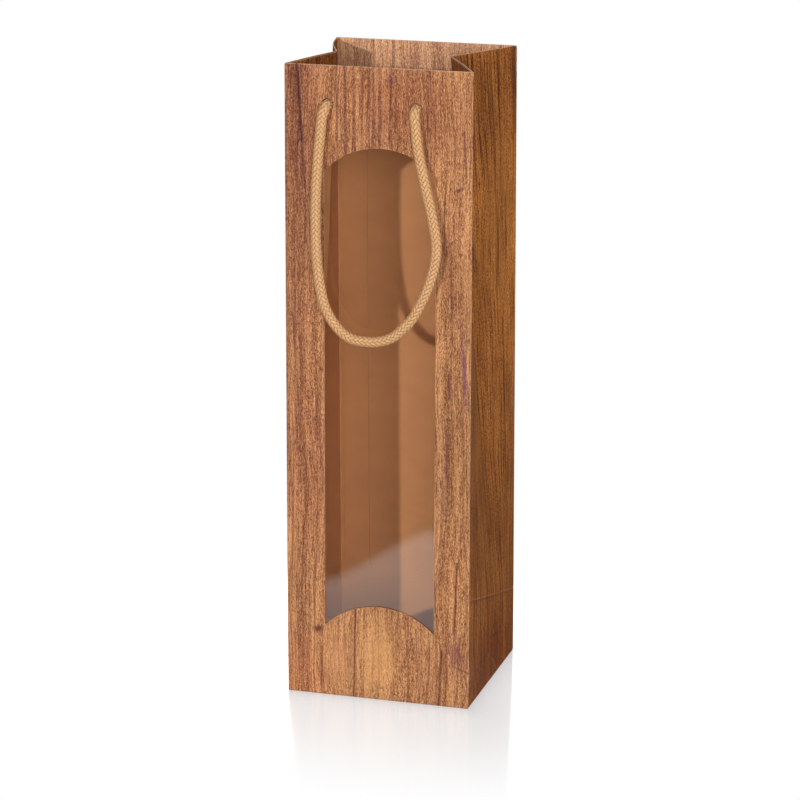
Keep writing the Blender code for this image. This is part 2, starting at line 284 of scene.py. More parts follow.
def make_line_group():
    """How near a place is to a straight line, broken up by patchy noise. It masks printed streaks, pale worn edges,
    painted highlights and painted crease shade along the folds.
    """
    tree, given, gives = new_group(
        "Fold line",
        [("Place", "Vector", (0, 0, 0)), ("From", "Vector", (0, 0, 0)), ("To", "Vector", (0, 0, 0)),
         ("Width", "Float", 1.0), ("Broken", "Float", 0.5)],
        [("Mask", "Float")])
    flat = vector_calc(tree, "MULTIPLY", given["Place"], (1.0, 1.0, 0.0))
    reach = vector_calc(tree, "SUBTRACT", given["To"], given["From"])
    away = vector_calc(tree, "SUBTRACT", flat, given["From"])
    along = calc(tree, "DIVIDE", vector_calc(tree, "DOT_PRODUCT", away, reach, out=1),
                 vector_calc(tree, "DOT_PRODUCT", reach, reach, out=1), clamp=True)
    nearest = put(tree, "VectorMath", {0: reach, "Scale": along}, operation="SCALE").outputs[0]
    distance = vector_calc(tree, "LENGTH", vector_calc(tree, "SUBTRACT", away, nearest), out=1)
    core = calc(tree, "SUBTRACT", 1.0, calc(tree, "DIVIDE", distance, given["Width"]), clamp=True)
    patchy = ramp(tree, grain(tree, given["Place"], (0.9, 0.9, 1.0), 3.0, 0.7), 0.35, 0.62)
    kept = calc(tree, "MULTIPLY_ADD", calc(tree, "SUBTRACT", patchy, 1.0), given["Broken"], 1.0)
    tree.links.new(calc(tree, "MULTIPLY", core, kept), gives["Mask"])
    return tree


def make_blot_group():
    """A ragged oval mark: a knot, a crack or a stain in the printed wood, and also a patch of painted light and of
    painted shade.
    """
    tree, given, gives = new_group(
        "Blot",
        [("Place", "Vector", (0, 0, 0)), ("Middle", "Vector", (0, 0, 0)), ("Reach", "Vector", (1, 1, 1)),
         ("Lean", "Float", 0.0), ("Ragged", "Float", 0.5)],
        [("Mask", "Float")])
    away = put(tree, "SeparateXYZ", {0: vector_calc(tree, "SUBTRACT", given["Place"], given["Middle"])}).outputs
    reach = put(tree, "SeparateXYZ", {0: given["Reach"]}).outputs
    leaning = calc(tree, "SUBTRACT", away[0], calc(tree, "MULTIPLY", away[1], given["Lean"]))
    across = calc(tree, "DIVIDE", leaning, reach[0])
    up = calc(tree, "DIVIDE", away[1], reach[1])
    far = calc(tree, "SQRT", calc(tree, "ADD", *[calc(tree, "MULTIPLY", way, way) for way in (across, up)]))
    rough = grain(tree, given["Place"], (0.9, 0.35, 1.0), 3.0, 0.65)
    far = swing(tree, rough, calc(tree, "MULTIPLY", given["Ragged"], 2.5), far)
    tree.links.new(ramp(tree, far, 1.0, 0.15), gives["Mask"])
    return tree


def make_fibre_group():
    """Plain paper and board: a soft felt of fibres with darker flecks."""
    tree, given, gives = new_group(
        "Paper fibre",
        [("Place", "Vector", (0, 0, 0)), ("Tint", "Color", (1, 1, 1, 1)), ("Contrast", "Float", 1.0)],
        [("Colour", "Color"), ("Height", "Float")])
    felt = grain(tree, given["Place"], (1.3, 1.6, 1.3), 4.0, 0.65)
    clouds = grain(tree, given["Place"], (0.06, 0.08, 0.06), 2.0)
    threads = ramp(tree, grain(tree, given["Place"], (3.5, 0.7, 2.0), 2.0, seed=(4, 1, 0)), 0.64, 0.74)
    both = calc(tree, "MULTIPLY_ADD", clouds, 0.45, calc(tree, "MULTIPLY", felt, 0.55))
    light = swing(tree, both, given["Contrast"], 1.0)
    light = calc(tree, "MULTIPLY_ADD", calc(tree, "MULTIPLY", threads, given["Contrast"]), -0.12, light)
    tree.links.new(dim(tree, given["Tint"], light), gives["Colour"])
    tree.links.new(felt, gives["Height"])
    return tree


wood_print = make_wood_group()
fold_line = make_line_group()
blot = make_blot_group()
paper_fibre = make_fibre_group()


def new_material(name, roughness, specular=0.4):
    material = bpy.data.materials.new(name)
    material.use_nodes = True
    tree = material.node_tree
    shader = tree.nodes["Principled BSDF"]
    shader.inputs["Roughness"].default_value = roughness
    shader.inputs["Specular IOR Level"].default_value = specular
    return material, tree, shader


def place_in_millimetres(tree, on_print):
    """Where a point lies on the flat blank, or in the bag where a piece has no blank of its own."""
    if on_print:
        metres = put(tree, "Attribute", attribute_name="blank").outputs["Vector"]
    else:
        metres = put(tree, "TexCoord").outputs["Object"]
    return put(tree, "VectorMath", {0: metres, "Scale": 1000.0}, operation="SCALE").outputs[0]


def surface(tree, shader, colour, height, strength):
    tree.links.new(colour, shader.inputs["Base Color"])
    bump = put(tree, "Bump", {"Height": height, "Strength": strength, "Distance": BUMP_DEPTH})
    tree.links.new(bump.outputs[0], shader.inputs["Normal"])


def make_print(name, pale, brown, plum, seed, marks=(), lines=(), tones=(), streaks=1.0, mottle=1.0, on_print=True):
    """A printed paper. Marks are colour, middle, reach, lean, raggedness and share; tones too, but wide and soft
    and multiplied in. Besides print, marks, tones and lines also carry painted light and shade, such as the sides'
    painted shade and the painted highlights and crease shade along the folds.

    Lines are colour, ends, width, how broken they are, share and height.
    """
    material, tree, shader = new_material(name, 0.66, 0.08)
    place = place_in_millimetres(tree, on_print)
    wood = use(tree, wood_print, Place=place, Pale=ink(*pale), Brown=ink(*brown), Plum=ink(*plum),
               Streaks=streaks, Mottle=mottle, Seed=seed)
    colour, height = wood["Colour"], wood["Height"]
    for kind, spots in (("MULTIPLY", tones), ("MIX", marks)):
        for tint, middle, reach, lean, ragged, share in spots:
            mask = use(tree, blot, Place=place, Middle=(*middle, 0), Reach=(*reach, 1), Lean=lean,
                       Ragged=ragged)["Mask"]
            colour = blend_colours(tree, calc(tree, "MULTIPLY", mask, share), colour, ink(*tint), kind)
    for tint, start, end, width, wear, share, rise in lines:
        mask = use(tree, fold_line, Place=place, From=(*start, 0), To=(*end, 0), Width=width, Broken=wear)["Mask"]
        colour = blend_colours(tree, calc(tree, "MULTIPLY", mask, share), colour, ink(*tint))
        height = calc(tree, "MULTIPLY_ADD", mask, rise, height)
    surface(tree, shader, colour, height, 0.25)
    return material


def make_paper(name, tint, contrast, roughness=0.85, on_print=True):
    material, tree, shader = new_material(name, roughness, 0.25)
    fibre = use(tree, paper_fibre, Place=place_in_millimetres(tree, on_print), Tint=ink(*tint), Contrast=contrast)
    surface(tree, shader, fibre["Colour"], fibre["Height"], 0.2)
    return material


def make_film_material():
    """Clear film: it mirrors a little face on, and more at a slant."""
    material, tree, shader = new_material("clear_film", 0.07)
    shader.inputs["Base Color"].default_value = (0.95, 0.96, 0.96, 1.0)
    shader.inputs["Metallic"].default_value = 1.0
    facing = put(tree, "LayerWeight", {"Blend": 0.5}).outputs["Facing"]
    slant = calc(tree, "POWER", facing, 5.0)
    tree.links.new(calc(tree, "MULTIPLY_ADD", slant, 0.6, 0.055), shader.inputs["Alpha"])
    haze = grain(tree, place_in_millimetres(tree, False), (0.08, 0.08, 0.08), 2.0)
    tree.links.new(calc(tree, "MULTIPLY_ADD", haze, 0.03, 0.01), shader.inputs["Roughness"])
    return material


def make_cord_material():
    """Braided paper-beige cord: fine fibres along each strand and shade between the strands."""
    material, tree, shader = new_material("braided_cord", 0.85, 0.25)
    strand = put(tree, "Attribute", attribute_name="strand").outputs["Vector"]
    crown = put(tree, "SeparateXYZ", {0: strand}).outputs[2]
    threads = grain(tree, strand, (7.0, 0.9, 0.0), 3.0, 0.6)
    patches = grain(tree, strand, (0.25, 0.10, 0.0), 1.0, seed=(3.0, 0, 0))
    light = calc(tree, "MULTIPLY_ADD", threads, 0.9, calc(tree, "MULTIPLY_ADD", patches, 0.3, 0.40))
    shade = ramp(tree, crown, 0.05, 0.8, 0.42, 1.0)
    warm = blend_colours(tree, ramp(tree, crown, 0.0, 0.6), ink(132, 84, 48), ink(206, 160, 114))
    surface(tree, shader, dim(tree, warm, calc(tree, "MULTIPLY", light, shade)), threads, 0.35)
    return material


# Meshes

def add_object(name, data):
    obj = bpy.data.objects.new(name, data)
    bpy.context.collection.objects.link(obj)
    return obj


def cover(obj, *materials):
    for material in materials:
        obj.data.materials.append(material)


def unit(way):
    return way / np.linalg.norm(way)


def add_mesh(name, points, faces, sides=None):
    mesh = bpy.data.meshes.new(name)
    mesh.from_pydata([tuple(p) for p in points], [], [tuple(f) for f in faces])
    mesh.validate()
    if sides is not None:
        mesh.polygons.foreach_set("material_index", sides)
    mesh.polygons.foreach_set("use_smooth", [True] * len(mesh.polygons))
    mesh.update()
    return add_object(name, mesh)


def note(obj, title, values):
    """Keeps three numbers for each point of a mesh."""
    attribute = obj.data.attributes.new(title, "FLOAT_VECTOR", "POINT")
    attribute.data.foreach_set("vector", np.asarray(values, dtype=np.float32).ravel())


def places(obj):
    found = np.empty(3 * len(obj.data.vertices))
    obj.data.vertices.foreach_get("co", found)
    return found.reshape(-1, 3)


OUTSIDE, INSIDE, RIM = 0, 1, 2


def sheet_faces(rows, columns, turned):
    """Faces of a closed sheet of two skins, each a grid of rows by columns, and of the rim between them."""
    skin = rows * columns
    faces, sides = [], []
    for i in range(rows - 1):
        for j in range(columns - 1):
            a = i * columns + j
            quad = (a, a + 1, a + columns + 1, a + columns)
            faces.append(quad[::-1] if turned else quad)
            faces.append(tuple(k + skin for k in (quad if turned else quad[::-1])))
            sides += [OUTSIDE, INSIDE]
    last = (rows - 1) * columns
    border = list(range(columns)) + [i * columns + columns - 1 for i in range(1, rows)]
    border += [last + j for j in range(columns - 2, -1, -1)] + [i * columns for i in range(rows - 2, 0, -1)]
    for a, b in zip(border, border[1:] + border[:1]):
        quad = (a, a + skin, b + skin, b)
        faces.append(quad[::-1] if turned else quad)
        sides.append(RIM)
    return faces, sides


def sheet_object(name, outer, inner, turned):
    """A closed sheet from two skins of equally many points."""
    rows, columns = outer.shape[:2]
    faces, sides = sheet_faces(rows, columns, turned)
    return add_mesh(name, np.concatenate([outer.reshape(-1, 3), inner.reshape(-1, 3)]), faces, sides)


def wall(z):
    """How far the front's and the back's outer face stands from the middle."""
    return HALF_DEPTH - LEAN * z / HEIGHT


def fold_height(y):
    return (FOLD_FRONT + FOLD_BACK) / 2 + (FOLD_BACK - FOLD_FRONT) * y / DEPTH


def side_out(side, y, z):
    """How far a side's outer face stands from the middle, with its soft creases and bows."""
    across = np.asarray(y) * HALF_DEPTH / wall(z)
    share = np.clip(1 - np.sqrt(across**2 + CREASE_ROUND**2) / HALF_DEPTH, 0, 1)
    fold = fold_height(across)
    rise = (z - fold + np.sqrt((z - fold) ** 2 + FOLD_ROUND**2)) / 2 / (HEIGHT - fold)
    bow = np.where(across < 0, GUSSET_BOW[side, FRONT], GUSSET_BOW[side, BACK])
    return HALF_WIDTH - PINCH[side] * share * rise + bow * np.sin(math.pi * share) ** 1.5 * np.clip(rise, 0, 1)


def dent(z):
    """How far the front's right edge juts out at a height."""
    return DENT_JUT * np.exp(-(((z - DENT_HEIGHT) / DENT_SPREAD) ** 2))


# A wall's grid: lines each side of a hole's middle, and how far from it the even rows and lines start
RINGS = [sign * step for step in (0.0007, 0.0021, 0.0035, 0.0041, 0.0048, 0.0058, 0.0072) for sign in (-1, 1)]
RINGS_REACH = 0.0075
ROW_STEP = 0.004
WALL_LINES = 27

def spread(low, high, step):
    """Values from low to high, spread evenly at about the step."""
    return np.linspace(low, high, max(2, round(abs(high - low) / step) + 1))


def wall_profile():
    """Insets and heights of both skins of a wall, up from the foot, over the top edge and down as the hem.

    The third value of a row is 0 on the wall itself, and 1 from the top edge on, where the hem begins.
    """
    rows, half = [], WALL_FOLD / 2
    for turn in np.linspace(1.5 * math.pi, math.pi, FOOT_STEPS + 1):
        for_skins = [(FOOT_ROUND + r * math.cos(turn), FOOT_ROUND + r * math.sin(turn))
                     for r in (FOOT_ROUND, FOOT_ROUND - PAPER)]
        rows.append((*for_skins, 0.0))
    top = HEIGHT - half
    heights = [z for z in spread(FOOT_ROUND, top, ROW_STEP)[1:-1] if abs(z - HOLE_HEIGHT) > RINGS_REACH]
    for z in sorted(heights + [HOLE_HEIGHT + step for step in RINGS]):
        rows.append(((0.0, z), (PAPER, z), 0.0))
    for turn in np.linspace(math.pi, 0, TOP_STEPS + 1):
        for_skins = [(half + r * math.cos(turn), top + r * math.sin(turn)) for r in (half, half - PAPER)]
        rows.append((*for_skins, 1.0))
    for z in spread(top, HEIGHT - HEM_DEPTH, ROW_STEP)[1:]:
        rows.append(((WALL_FOLD, z), (WALL_FOLD - PAPER, z), 1.0))
    return rows


def across_places(face, reach):
    """Places of the upright grid lines of a wall, closer together at its holes."""
    found = set(np.round(np.linspace(-reach, reach, WALL_LINES)[1:-1], 6))
    for x in hole_places(face):
        found = {f for f in found if abs(f - x) > RINGS_REACH} | {round(x + step, 6) for step in RINGS}
    return sorted(found)


def wall_outline(face, z):
    """Points of a level section of a wall's outer skin, from left to right, and the way each faces."""
    points, facings = [], []
    for side in (LEFT, RIGHT):
        jut = dent(z) if (face, side) == (FRONT, RIGHT) else 0.0
        y_end = face * (wall(z) - CORNER_ROUND)
        ends = np.array([
            (side * (HALF_WIDTH - CORNER_ROUND), face * wall(z)),
            (side * (HALF_WIDTH + jut), face * wall(z)),
            (side * (float(side_out(side, y_end, z)) + jut), y_end)])
        run, facing = [], []
        for i in range(CORNER_STEPS + 1):
            t = i / CORNER_STEPS
            run.append((1 - t) ** 2 * ends[0] + 2 * t * (1 - t) * ends[1] + t**2 * ends[2])
            along = (1 - t) * (ends[1] - ends[0]) + t * (ends[2] - ends[1])
            normal = np.array((along[1], -along[0])) * -face * side
            facing.append(unit(normal))
        if side == LEFT:
            points, facings = run[::-1], facing[::-1]
            for x in across_places(face, -run[0][0]):
                points.append(np.array((x, face * wall(z))))
                facings.append(np.array((0.0, face)))
        else:
            points += run
            facings += facing
    return np.array(points), np.array(facings)


def hem_outline(face, z, count):
    """Points of the hem's innermost face, spread evenly from corner to corner."""
    y = face * (wall(z) - WALL_FOLD)
    left, right = (side * (float(side_out(side, y, z)) - SIDE_FOLD) for side in (LEFT, RIGHT))
    return np.array([(x, y) for x in np.linspace(left, right, count)])


def make_wall_sheet(face):
    """The front or the back with its hem: one sheet, round at the foot, the corners and the top edge."""
    skins = ([], [])
    for outer, inner, hemmed in wall_profile():
        for skin, (inset, z) in zip(skins, (outer, inner)):
            points, facings = wall_outline(face, z)
            if hemmed:
                far = hem_outline(face, z, len(points))
                flat = points + (far - points) * inset / WALL_FOLD
            else:
                flat = points - facings * inset
            skin.append([(x, y, z) for x, y in flat])
    return sheet_object(f"{FACE_NAMES[face]}_wall", np.array(skins[0]), np.array(skins[1]), face == BACK)


def arc(x0, x1, z, rise):
    """Points of an arc over a level chord, from one end to the other."""
    half = abs(x1 - x0) / 2
    radius = (half**2 + rise**2) / (2 * rise)
    sweep = math.asin(half / radius)
    middle, sign = (x0 + x1) / 2, math.copysign(1, x1 - x0)
    angles = [sweep * (2 * i / ARC_STEPS - 1) for i in range(ARC_STEPS + 1)]
    return [(middle + sign * radius * math.sin(a), z + rise - radius * (1 - math.cos(a))) for a in angles]


def window_outline():
    left, right = WINDOW_SHIFT - WINDOW_WIDTH / 2, WINDOW_SHIFT + WINDOW_WIDTH / 2
    shoulder = HEIGHT - WINDOW_DROP - CROWN_RISE
    return arc(left, right, WINDOW_FOOT, FOOT_RISE) + arc(right, left, shoulder, CROWN_RISE)


def hole_places(face):
    """The places across the bag of a wall's two holes, the left end of the front's handle first."""
    return [-face * (HOLE_SHIFT + side * HOLE_SPACING / 2) for side in (LEFT, RIGHT)]


def hole_outline(x):
    turns = [2 * math.pi * i / HOLE_SIDES for i in range(HOLE_SIDES)]
    return [(x + HOLE_RADIUS * math.cos(t), HOLE_HEIGHT + HOLE_RADIUS * math.sin(t)) for t in turns]


def cut_through(obj, face, outlines):
    """Cuts outlines out of a wall, through every layer."""
    cutters = []
    for outline in outlines:
        count = len(outline)
        points = [(x, face * y, z) for y in CUT_REACH for x, z in outline]
        faces = [tuple(range(count)), tuple(range(2 * count - 1, count - 1, -1))]
        faces += [(i, count + i, count + (i + 1) % count, (i + 1) % count) for i in range(count)]
        if face == BACK:
            faces = [f[::-1] for f in faces]
        cutter = add_mesh("cutter", points, faces)
        cutter.hide_render = True
        boolean = obj.modifiers.new("cut", "BOOLEAN")
        boolean.operation, boolean.solver, boolean.object = "DIFFERENCE", "EXACT", cutter
        cutters.append(cutter)
    seen = obj.evaluated_get(bpy.context.evaluated_depsgraph_get())
    mesh = bpy.data.meshes.new_from_object(seen)
    obj.modifiers.clear()
    obj.data = mesh
    for cutter in cutters:
        bpy.data.objects.remove(cutter, do_unlink=True)


def lift_hole_lips(obj, face):
    """Pushes the outer paper out a little round each hole."""
    at = places(obj)
    outer = wall(at[:, 2]) - np.abs(at[:, 1]) < 2 * PAPER
    for x in hole_places(face):
        far = np.hypot(at[:, 0] - x, at[:, 2] - HOLE_HEIGHT) - HOLE_RADIUS
        upper = 0.6 + 0.4 * np.clip((at[:, 2] - HOLE_HEIGHT) / HOLE_RADIUS, -1, 1)
        at[:, 1] += np.where(outer, face * LIP_RISE * upper * np.exp(-((np.maximum(far, 0) / LIP_REACH) ** 1.5)), 0)
    obj.data.vertices.foreach_set("co", at.ravel())


def finish_wall(obj, face):
    """Marks the cut edges, and notes where each point lies on the blank."""
    for polygon in obj.data.polygons:
        x, _, z = polygon.center
        within = abs(x) < HALF_WIDTH - CUT_MARGIN and CUT_MARGIN < z < HEIGHT - CUT_MARGIN
        if within and abs(polygon.normal.y) < 0.5:
            polygon.material_index = RIM
    obj.data.set_sharp_from_angle(angle=SHARP)
    at = places(obj)
    inset = wall(at[:, 2]) - np.abs(at[:, 1])
    up = np.where(inset > WALL_FOLD / 2, 2 * HEIGHT - at[:, 2], at[:, 2])
    across = at[:, 0] if face == FRONT else -at[:, 0]
    note(obj, "blank", np.stack([across, up, np.zeros(len(at))], axis=1))


def make_walls():
    walls = {}
    for face in (FRONT, BACK):
        obj = make_wall_sheet(face)
        outlines = [hole_outline(x) for x in hole_places(face)]
        if face == FRONT:
            outlines.append(window_outline())
        cut_through(obj, face, outlines)
        finish_wall(obj, face)
        lift_hole_lips(obj, face)
        walls[face] = obj
    return walls


def gusset_columns():
    """Shares of the way from the corner to the crease, closer together near both."""
    near = [0, 0.0005, 0.0012, 0.0025, 0.005]
    middle = list(spread(0.005, 0.044, 0.003))[1:]
    far = [0.0465, 0.0478, 0.0485, 0.0489, 0.0492]
    return np.array(near + middle + far) / 0.0492


def make_gusset_half(side, face):
    """Half of a side above its slanting fold, with its own hem."""
    shares = gusset_columns()
    skins = ([], [])
    lows = [0, 0.0003, 0.0007, 0.0014, 0.003, 0.006]
    top = HEIGHT - SIDE_FOLD / 2
    rows = [("low", d) for d in lows] + [("up", s) for s in np.linspace(0, 1, 66)[1:-1]]
    rows += [("top", turn) for turn in np.linspace(math.pi, 0, TOP_STEPS + 1)]
    rows += [("hem", z) for z in spread(top, HEIGHT - HEM_DEPTH, ROW_STEP)[1:]]
    for kind, at in rows:
        for which, skin in enumerate(skins):
            inset = PAPER * which
            z = np.full(len(shares), top)
            if kind == "top":
                radius = SIDE_FOLD / 2 - inset
                z = z + radius * math.sin(at)
                inset = SIDE_FOLD / 2 + radius * math.cos(at)
            elif kind == "hem":
                z = np.full(len(shares), at)
                inset = SIDE_FOLD - inset
            hemmed = inset / SIDE_FOLD if kind in ("top", "hem") else 0.0
            corner = CORNER_ROUND + (WALL_FOLD - CORNER_ROUND) * hemmed
            y = face * (wall(z) - corner) * (1 - shares)
            if kind in ("low", "up"):
                fold = fold_height(y * HALF_DEPTH / wall(0.05))
                z = fold + at if kind == "low" else fold + lows[-1] + (top - fold - lows[-1]) * at
                y = face * (wall(z) - corner) * (1 - shares)
            x = side * (side_out(side, y, z) - inset)
            skin.append(np.stack([x, y, z], axis=1))
    name = f"{SIDE_NAMES[side]}_side_{FACE_NAMES[face]}"
    obj = sheet_object(name, np.array(skins[0]), np.array(skins[1]), (side == RIGHT) == (face == BACK))
    finish_side(obj, np.tile(np.repeat([kind == "hem" for kind, _ in rows], len(shares)), 2))
    return obj


def finish_side(obj, hemmed=False):
    """Notes where each point of a side lies on the blank: 0 at the front corner, 100 mm at the back one."""
    obj.data.set_sharp_from_angle(angle=SHARP)
    at = places(obj)
    across = at[:, 1] * HALF_DEPTH / wall(at[:, 2]) + HALF_DEPTH
    up = np.where(hemmed, 2 * HEIGHT - at[:, 2], at[:, 2])
    note(obj, "blank", np.stack([across, up, np.zeros(len(at))], axis=1))


def make_side_base(side):
    """The flat foot of a side, below its slanting fold."""
    shares = np.linspace(0, 1, 61)
    skins = ([], [])
    rows = [("foot", turn) for turn in np.linspace(1.5 * math.pi, math.pi, FOOT_STEPS + 1)]
    rows += [("up", s) for s in np.linspace(0, 1, 31)[1:]]
    rows += [("tuck", TUCK_START), ("tuck", TUCK)]
    for kind, at in rows:
        for which, skin in enumerate(skins):
            if kind == "foot":
                radius = FOOT_ROUND - PAPER * which
                z = np.full(len(shares), FOOT_ROUND + radius * math.sin(at))
                inset = FOOT_ROUND + radius * math.cos(at)
            else:
                fold = fold_height((2 * shares - 1) * HALF_DEPTH)
                z = FOOT_ROUND + (fold - FOOT_ROUND) * at if kind == "up" else fold + at
                inset = PAPER * which + (PAPER + TUCK_GAP if kind == "tuck" else 0.0)
            y = (2 * shares - 1) * (wall(z) - CORNER_ROUND)
            juts = dent(z) * (1 - shares) ** 3 if side == RIGHT else 0.0
            x = side * (side_out(side, y, z) - inset + juts)
            skin.append(np.stack([x, y, z], axis=1))
    obj = sheet_object(f"{SIDE_NAMES[side]}_side_base", np.array(skins[0]), np.array(skins[1]), side == LEFT)
    finish_side(obj)
    return obj


def make_window_sheet():
    """The film behind the window, glued round its edge and slack in the middle."""
    half = WINDOW_WIDTH / 2 + FILM_MARGIN
    across = np.linspace(-half, half, FILM_GRID[0])
    low, high = WINDOW_FOOT - FILM_MARGIN, HEIGHT - WINDOW_DROP + FILM_TOP_MARGIN
    up = np.linspace(low, high, FILM_GRID[1])
    a, z = np.meshgrid(across, up)
    free_across = np.clip(1 - np.abs(a) / (WINDOW_WIDTH / 2 + 0.002), 0, 1)
    free_up = np.clip(np.minimum(z - low, high - z) / 0.03, 0, 1)
    free = np.sqrt(free_across * (2 - free_across)) * free_up * (2 - free_up)
    waves = 0.85 + 0.06 * np.sin(z * 46 + a * 30) + 0.03 * np.sin(a * 130 - z * 25)
    inset = FILM_INSET + FILM_SAG * free * waves
    skins = [np.stack([a + WINDOW_SHIFT, FRONT * (wall(z) - inset - depth), z], axis=2) for depth in (0, FILM)]
    return sheet_object("window_sheet", skins[0], skins[1], False)


def wall_gap_point(face, across, z, gap):
    return np.array((-face * across, face * (wall(z) + gap), z))


def rope_points(face):
    """The whole cord of one handle: tail, knot, hole, loop, hole, knot and tail, and where its loop lies."""
    loop = [wall_gap_point(face, x, HOLE_HEIGHT - drop, gap + CORD / 2) for x, drop, gap in HANDLE_ROUTE]
    ends = []
    for first, hole in zip((True, False), (-face * x for x in hole_places(face))):
        side = LEFT if -face * hole < 0 else RIGHT
        near = loop[0] if first else loop[-1]
        out = []
        for turn in (0.0, 0.35, 0.7, 1.05, 1.4):
            reach = AXIS_STAND_OFF * math.sin(turn)
            drop = AXIS_STAND_OFF * (1 - math.cos(turn))
            x = hole + (abs(near[0]) * math.copysign(1, hole) - hole) * (turn / 2.0) ** 2
            out.append(wall_gap_point(face, x, HOLE_HEIGHT - drop, 0.0) + np.array((0, face * reach, 0)))
        ends.append((knot_points(face, side, hole), out))
    (first_knot, first_out), (last_knot, last_out) = ends
    before = first_knot + first_out
    after = last_out[::-1] + last_knot[::-1]
    return before, loop, after


def knot_points(face, side, hole):
    """The cord's tail and overhand knot inside the bag, tail first."""
    inner = wall(HOLE_HEIGHT) - WALL_FOLD
    turn = KNOT_TURNS[face, side]
    middle = KNOT_CORD + KNOT_WAVE + 0.0002
    ring = []
    for phi in np.linspace(-math.pi / 3, 3 * math.pi, KNOT_STEPS):
        radius = KNOT_RING + KNOT_WAVE * math.cos(1.5 * phi)
        deep = middle + KNOT_WAVE * math.sin(1.5 * phi)
        ring.append((deep, radius * math.cos(phi + turn), radius * math.sin(phi + turn)))
    deep, across, up = ring[-1]
    hang = [(deep + 0.0010, across * 0.7, up - 0.0038), (deep + 0.0014, across * 0.55, up - 0.0075),
            (deep + 0.0012, across * 0.5, up - TAIL)]
    lead = [(-0.0008, 0.0, 0.0), (0.0010, ring[0][1] * 0.3, -0.0012)]
    run = lead + [(a, b, c - KNOT_DROP) for a, b, c in ring + hang]
    return [np.array((-face * (hole + b), face * (inner - a), HOLE_HEIGHT + c)) for a, b, c in reversed(run)]


def smooth(points, steps=10):
    """Points along one smooth curve through every point."""
    padded = np.array([2 * points[0] - points[1], *points, 2 * points[-1] - points[-2]])
    line = []
    for a, b, c, d in zip(padded, padded[1:], padded[2:], padded[3:]):
        for t in np.arange(steps) / steps:
            bend = (2 * a - 5 * b + 4 * c - d) * t**2 + (3 * b - a - 3 * c + d) * t**3
            line.append(b + ((c - a) * t + bend) / 2)
    return np.array([*line, points[-1]])


def lengths(line):
    """How far along a line each of its points lies."""
    return np.concatenate([[0.0], np.cumsum(np.linalg.norm(np.diff(line, axis=0), axis=1))])


def line_index(line, point):
    """Which of a line's points is nearest to a place."""
    return int(np.argmin(np.linalg.norm(line - point, axis=1)))


def evenly(line, step, bends):
    """Points at an even step along a line, four times closer together round its sharp bends."""
    along = lengths(line)
    at = np.linspace(0, along[-1], round(along[-1] / step) + 1)
    for bend in bends:
        place = along[line_index(line, bend)]
        fine = place + np.arange(-BEND_STEPS * 4, BEND_STEPS * 4 + 1) * step / 4
        at = np.concatenate([at[np.abs(at - place) > (BEND_STEPS + 0.5) * step], fine])
    at = np.sort(at)
    return np.stack([np.interp(at, along, line[:, k]) for k in range(3)], axis=1)


def carried_frames(line):
    """Two directions across the line at each point, carried along it without twisting."""
    ways = np.gradient(line, axis=0)
    ways /= np.linalg.norm(ways, axis=1)[:, None]
    across = [unit(np.cross(ways[0], (0.3, 0.5, 0.8)))]
    for way in ways[1:]:
        across.append(unit(across[-1] - way * np.dot(across[-1], way)))
    across = np.array(across)
    return across, np.cross(ways, across)


def braid(line, radii, across, over):
    """Points and strand notes of a braided surface round a line."""
    turns = 2 * math.pi * np.arange(CORD_SIDES) / CORD_SIDES
    along = lengths(line)
    s, turn = np.meshgrid(along, turns, indexing="ij")
    u = STRANDS * turn / (2 * math.pi) + s / STRAND_PITCH
    v = STRANDS * turn / (2 * math.pi) - s / STRAND_PITCH
    step = np.mod(np.floor(u) + np.floor(v), 4)
    first_on_top = step < 2
    cross = np.where(first_on_top, u - np.floor(u), v - np.floor(v))
    phase = np.where(first_on_top, (step + v - np.floor(v)) / 2, (step - 2 + u - np.floor(u)) / 2)
    crown = np.sqrt(np.clip(1 - (2 * cross - 1) ** 2, 0, 1)) * (0.35 + 0.65 * np.sin(math.pi * phase) ** 0.6)
    run = np.where(first_on_top, v, -u)
    radius = radii[:, None] / (CORD / 2) * (CORD_CORE + STRAND_RELIEF * crown)
    points = line[:, None] + radius[..., None] * (
        np.cos(turn)[..., None] * across[:, None] + np.sin(turn)[..., None] * over[:, None])
    strand = np.where(first_on_top, np.floor(u), np.floor(v) + 20)
    notes = np.stack([cross + 3.1 * strand, run + 1.7 * strand, crown], axis=2)
    return points, notes


def tube_object(name, points, notes):
    """A closed tube through rings of points, domed a little at both ends."""
    rings, sides = points.shape[:2]
    faces = []
    for i in range(rings - 1):
        for j in range(sides):
            a, b = i * sides + j, i * sides + (j + 1) % sides
            faces.append((a, b, b + sides, a + sides))
    flat, kept = points.reshape(-1, 3), notes.reshape(-1, 3)
    ends = []
    for ring, inner in ((0, 1), (rings - 1, rings - 2)):
        middle = points[ring].mean(axis=0)
        ends.append(middle + (middle - points[inner].mean(axis=0)) * 0.8)
    flat = np.concatenate([flat, ends])
    kept = np.concatenate([kept, [[0, 0, 0.5]] * 2])
    low, high = rings * sides, rings * sides + 1
    for j in range(sides):
        k = (j + 1) % sides
        faces.append((low, k, j))
        faces.append((high, (rings - 1) * sides + j, (rings - 1) * sides + k))
    obj = add_mesh(name, flat, faces)
    note(obj, "strand", kept)
    return obj


